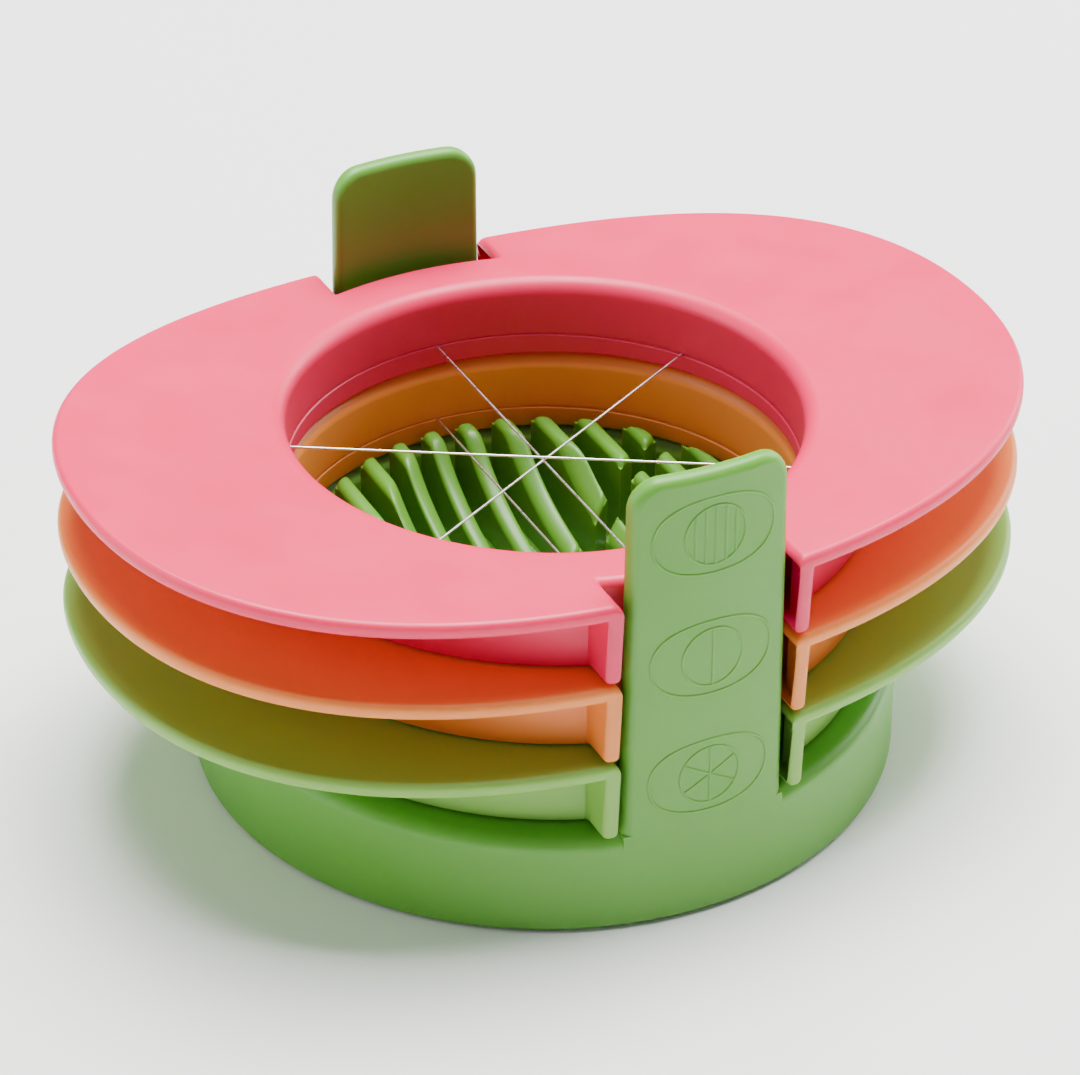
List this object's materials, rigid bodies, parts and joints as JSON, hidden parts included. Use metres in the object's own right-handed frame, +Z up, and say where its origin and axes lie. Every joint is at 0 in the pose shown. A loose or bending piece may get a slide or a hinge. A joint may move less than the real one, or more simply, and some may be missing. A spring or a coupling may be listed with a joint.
{
  "type": "egg slicer",
  "caption": "Egg slicer: round base with two upright posts and a ribbed egg cradle, and stacked winged wire cutters for slices, halves and wedges.",
  "frame": {"origin": "centre of the underside, on the surface that the slicer stands on", "axes": "+Z up; +X from wing to wing; -Y towards the post with the pictograms"},
  "size_m": [0.1216, 0.0896, 0.0614],
  "materials": {
    "base_green": "moulded polypropylene, satin",
    "cradle_green": "moulded polypropylene, satin",
    "cutter_lime": "moulded polypropylene, satin",
    "cutter_orange": "moulded polypropylene, satin",
    "cutter_pink": "moulded polypropylene, satin",
    "wire_steel": "drawn stainless wire, bright",
    "crimp_steel": "pressed stainless, bright",
    "spring_steel": "pressed spring steel",
    "ring_rubber": "soft thermoplastic rubber, matt"
  },
  "bodies": {
    "base": {"base_shell": "base_green", "egg_cradle": "cradle_green", "cradle_peg_clips": "spring_steel", "non_slip_ring": "ring_rubber"},
    "slice_cutter": {"slice_frame": "cutter_lime", "slice_wire_ring": "cutter_lime", "slice_wire_crimps": "crimp_steel", "slice_wire_01": "wire_steel", "slice_wire_02": "wire_steel", "slice_wire_03": "wire_steel", "slice_wire_04": "wire_steel", "slice_wire_05": "wire_steel", "slice_wire_06": "wire_steel", "slice_wire_07": "wire_steel", "slice_wire_08": "wire_steel", "slice_wire_09": "wire_steel", "slice_wire_10": "wire_steel", "slice_wire_11": "wire_steel"},
    "half_cutter": {"half_frame": "cutter_orange", "half_wire_ring": "cutter_orange", "half_wire_crimps": "crimp_steel", "half_wire": "wire_steel"},
    "wedge_cutter": {"wedge_frame": "cutter_pink", "wedge_wire_ring": "cutter_pink", "wedge_wire_crimps": "crimp_steel", "wedge_wire_01": "wire_steel", "wedge_wire_02": "wire_steel", "wedge_wire_03": "wire_steel"}
  },
  "joints": [
    {"name": "slice_lift", "type": "slide", "parent": "base", "child": "slice_cutter", "axis": [0, 0, 1], "range_m": [0, 0.05]},
    {"name": "half_lift", "type": "slide", "parent": "slice_cutter", "child": "half_cutter", "axis": [0, 0, 1], "range_m": [0, 0.039]},
    {"name": "wedge_lift", "type": "slide", "parent": "half_cutter", "child": "wedge_cutter", "axis": [0, 0, 1], "range_m": [0, 0.028]}
  ]
}
